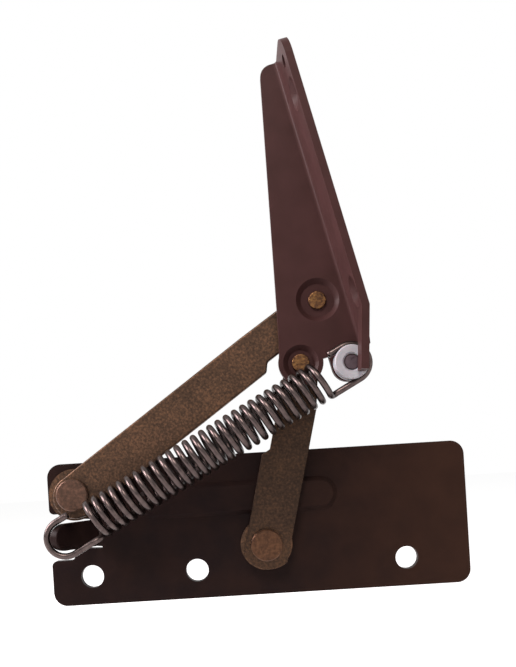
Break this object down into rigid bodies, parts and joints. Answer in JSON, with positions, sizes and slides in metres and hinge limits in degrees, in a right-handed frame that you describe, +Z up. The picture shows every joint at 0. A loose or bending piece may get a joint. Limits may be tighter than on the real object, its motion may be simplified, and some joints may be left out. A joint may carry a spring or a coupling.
{
  "type": "chest hinge",
  "caption": "Sprung chest-lid hinge: screw plate, two crossed levers, folded lid bracket, and a tension spring from a bent tongue to a roller.",
  "frame": {"origin": "axis of the plate's left screw hole, on the plate's mounting face", "axes": "+X along the plate towards the lid bracket's side, +Z up, +Y into the panel that the plate is screwed to"},
  "size_m": [0.1014, 0.022, 0.1259],
  "materials": {
    "brown_paint": "dark brown enamel, semi-gloss, over pressed steel",
    "antique_bronze": "antique bronze plating, mottled and lightly scratched",
    "bronze_rivet": "bronze-plated rivet head, satin",
    "brass_rivet": "brass-coloured peened end, satin",
    "white_nylon": "smooth white nylon",
    "spring_wire": "dark bronzed spring wire, glossy"
  },
  "bodies": {
    "base": {"base_plate": "brown_paint", "lower_long_rivet": "bronze_rivet", "lower_short_rivet": "bronze_rivet", "long_lever_washer": "antique_bronze", "short_lever_washer": "antique_bronze"},
    "long_lever": {"long_lever": "antique_bronze"},
    "bracket": {"upper_bracket": "brown_paint", "upper_long_rivet": "brass_rivet", "upper_short_rivet_tail": "brass_rivet", "roller_pin": "brown_paint"},
    "short_lever": {"short_lever": "antique_bronze", "upper_short_rivet": "brass_rivet"},
    "roller": {"spring_roller": "white_nylon"},
    "spring": {"tension_spring": "spring_wire"},
    "spring_end": {"spring_upper_hook": "spring_wire"}
  },
  "joints": [
    {"name": "long_lever_swing", "type": "hinge", "parent": "base", "child": "long_lever", "pos_m": [-0.00288, -0.0043, 0.02014], "axis": [0, 1, 0], "range_deg": [0, 28]},
    {"name": "bracket_fold", "type": "hinge", "parent": "long_lever", "child": "bracket", "pos_m": [0.05797, -0.0043, 0.06261], "axis": [0, -1, 0], "range_deg": [0, 103.9], "stiffness_Nm_per_rad": 0.5, "springref_deg": -28.65},
    {"name": "short_lever_swing", "type": "hinge", "parent": "base", "child": "short_lever", "pos_m": [0.04264, -0.0043, 0.0055], "axis": [0, 1, 0], "range_deg": [0, 55.5]},
    {"name": "spring_swing", "type": "hinge", "parent": "base", "child": "spring", "pos_m": [-0.0032, -0.0139, 0.01085], "axis": [0, 1, 0], "range_deg": [0, 15.46], "deforming": ["tension_spring"]},
    {"name": "spring_stretch", "type": "slide", "parent": "spring", "child": "spring_end", "axis": [0.8826, 0, 0.4701], "range_m": [0, 0.0169], "deforming": ["spring_upper_hook"]},
    {"name": "roller_spin", "type": "hinge", "parent": "bracket", "child": "roller", "pos_m": [0.06409, -0.0139, 0.0467], "axis": [0, -1, 0], "continuous": true}
  ],
  "couplings": [
    {"joint": "long_lever_swing", "follows": "bracket_fold", "ratio": 0.26949},
    {"joint": "short_lever_swing", "follows": "bracket_fold", "ratio": 0.53417},
    {"joint": "spring_swing", "follows": "bracket_fold", "ratio": 0.1488},
    {"joint": "spring_stretch", "follows": "bracket_fold", "m_per_rad": 0.009319}
  ]
}
